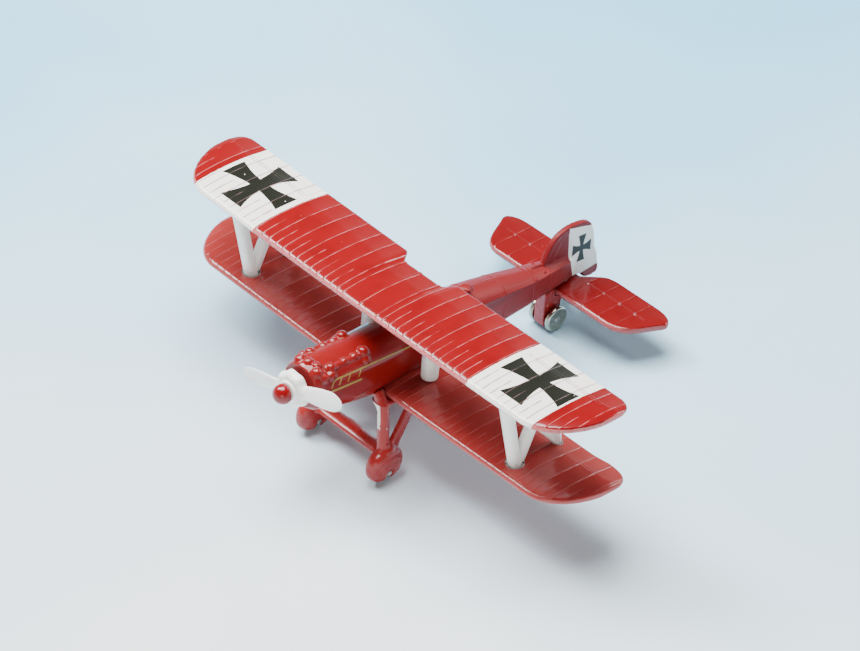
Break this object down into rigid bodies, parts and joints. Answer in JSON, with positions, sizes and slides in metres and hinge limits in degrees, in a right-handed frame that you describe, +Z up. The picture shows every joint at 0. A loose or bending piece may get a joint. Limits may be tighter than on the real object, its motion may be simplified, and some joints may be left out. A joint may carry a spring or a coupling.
{
  "type": "biplane scale model",
  "caption": "Die-cast toy biplane with two joined wings, spatted wheels, a free-turning propeller and turning tail wheels.",
  "frame": {"origin": "centre of the bounding box, on the ground plane under the wheels", "axes": "+X toward the port wing tip, +Y toward the tail, +Z up from the ground; the aircraft sits nose up by 7.04 degrees about X"},
  "size_m": [0.1104, 0.087, 0.0378],
  "materials": {
    "red_enamel": "glossy enamel over a zinc casting, worn at the edges",
    "white_plastic": "milky moulded plastic, softly glossy",
    "bright_wheel": "bright plated, slightly worn",
    "steel_pin": "dull bare steel"
  },
  "bodies": {
    "airframe": {"upper_wing": "red_enamel", "lower_wing": "red_enamel", "port_interplane_strut": "white_plastic", "port_cabane_post": "white_plastic", "starboard_interplane_strut": "white_plastic", "starboard_cabane_post": "white_plastic", "fuselage": "red_enamel", "belly_plate": "red_enamel", "front_belly_rivet": "steel_pin", "rear_belly_rivet": "steel_pin", "tailplane": "red_enamel", "tail_wheel_bracket": "red_enamel", "tail_rivet": "steel_pin", "port_main_gear": "red_enamel", "starboard_main_gear": "red_enamel", "axle_fairing": "red_enamel", "spinner_pin": "red_enamel"},
    "propeller": {"propeller": "white_plastic"},
    "port_main_wheel": {"port_main_wheel": "bright_wheel", "port_main_axle": "steel_pin"},
    "starboard_main_wheel": {"starboard_main_wheel": "bright_wheel", "starboard_main_axle": "steel_pin"},
    "tail_wheels": {"port_tail_wheel": "bright_wheel", "starboard_tail_wheel": "bright_wheel", "tail_axle": "steel_pin"}
  },
  "joints": [
    {"name": "propeller_spin", "type": "hinge", "parent": "airframe", "child": "propeller", "pos_m": [0, -0.03892, 0.02606], "axis": [0, 0.9925, -0.1225], "continuous": true},
    {"name": "port_wheel_spin", "type": "hinge", "parent": "airframe", "child": "port_main_wheel", "pos_m": [0.0101, -0.02466, 0.00244], "axis": [1, 0, 0], "continuous": true},
    {"name": "starboard_wheel_spin", "type": "hinge", "parent": "airframe", "child": "starboard_main_wheel", "pos_m": [-0.0101, -0.02466, 0.00244], "axis": [1, 0, 0], "continuous": true},
    {"name": "tail_wheels_spin", "type": "hinge", "parent": "airframe", "child": "tail_wheels", "pos_m": [0, 0.03004, 0.00279], "axis": [1, 0, 0], "continuous": true}
  ]
}
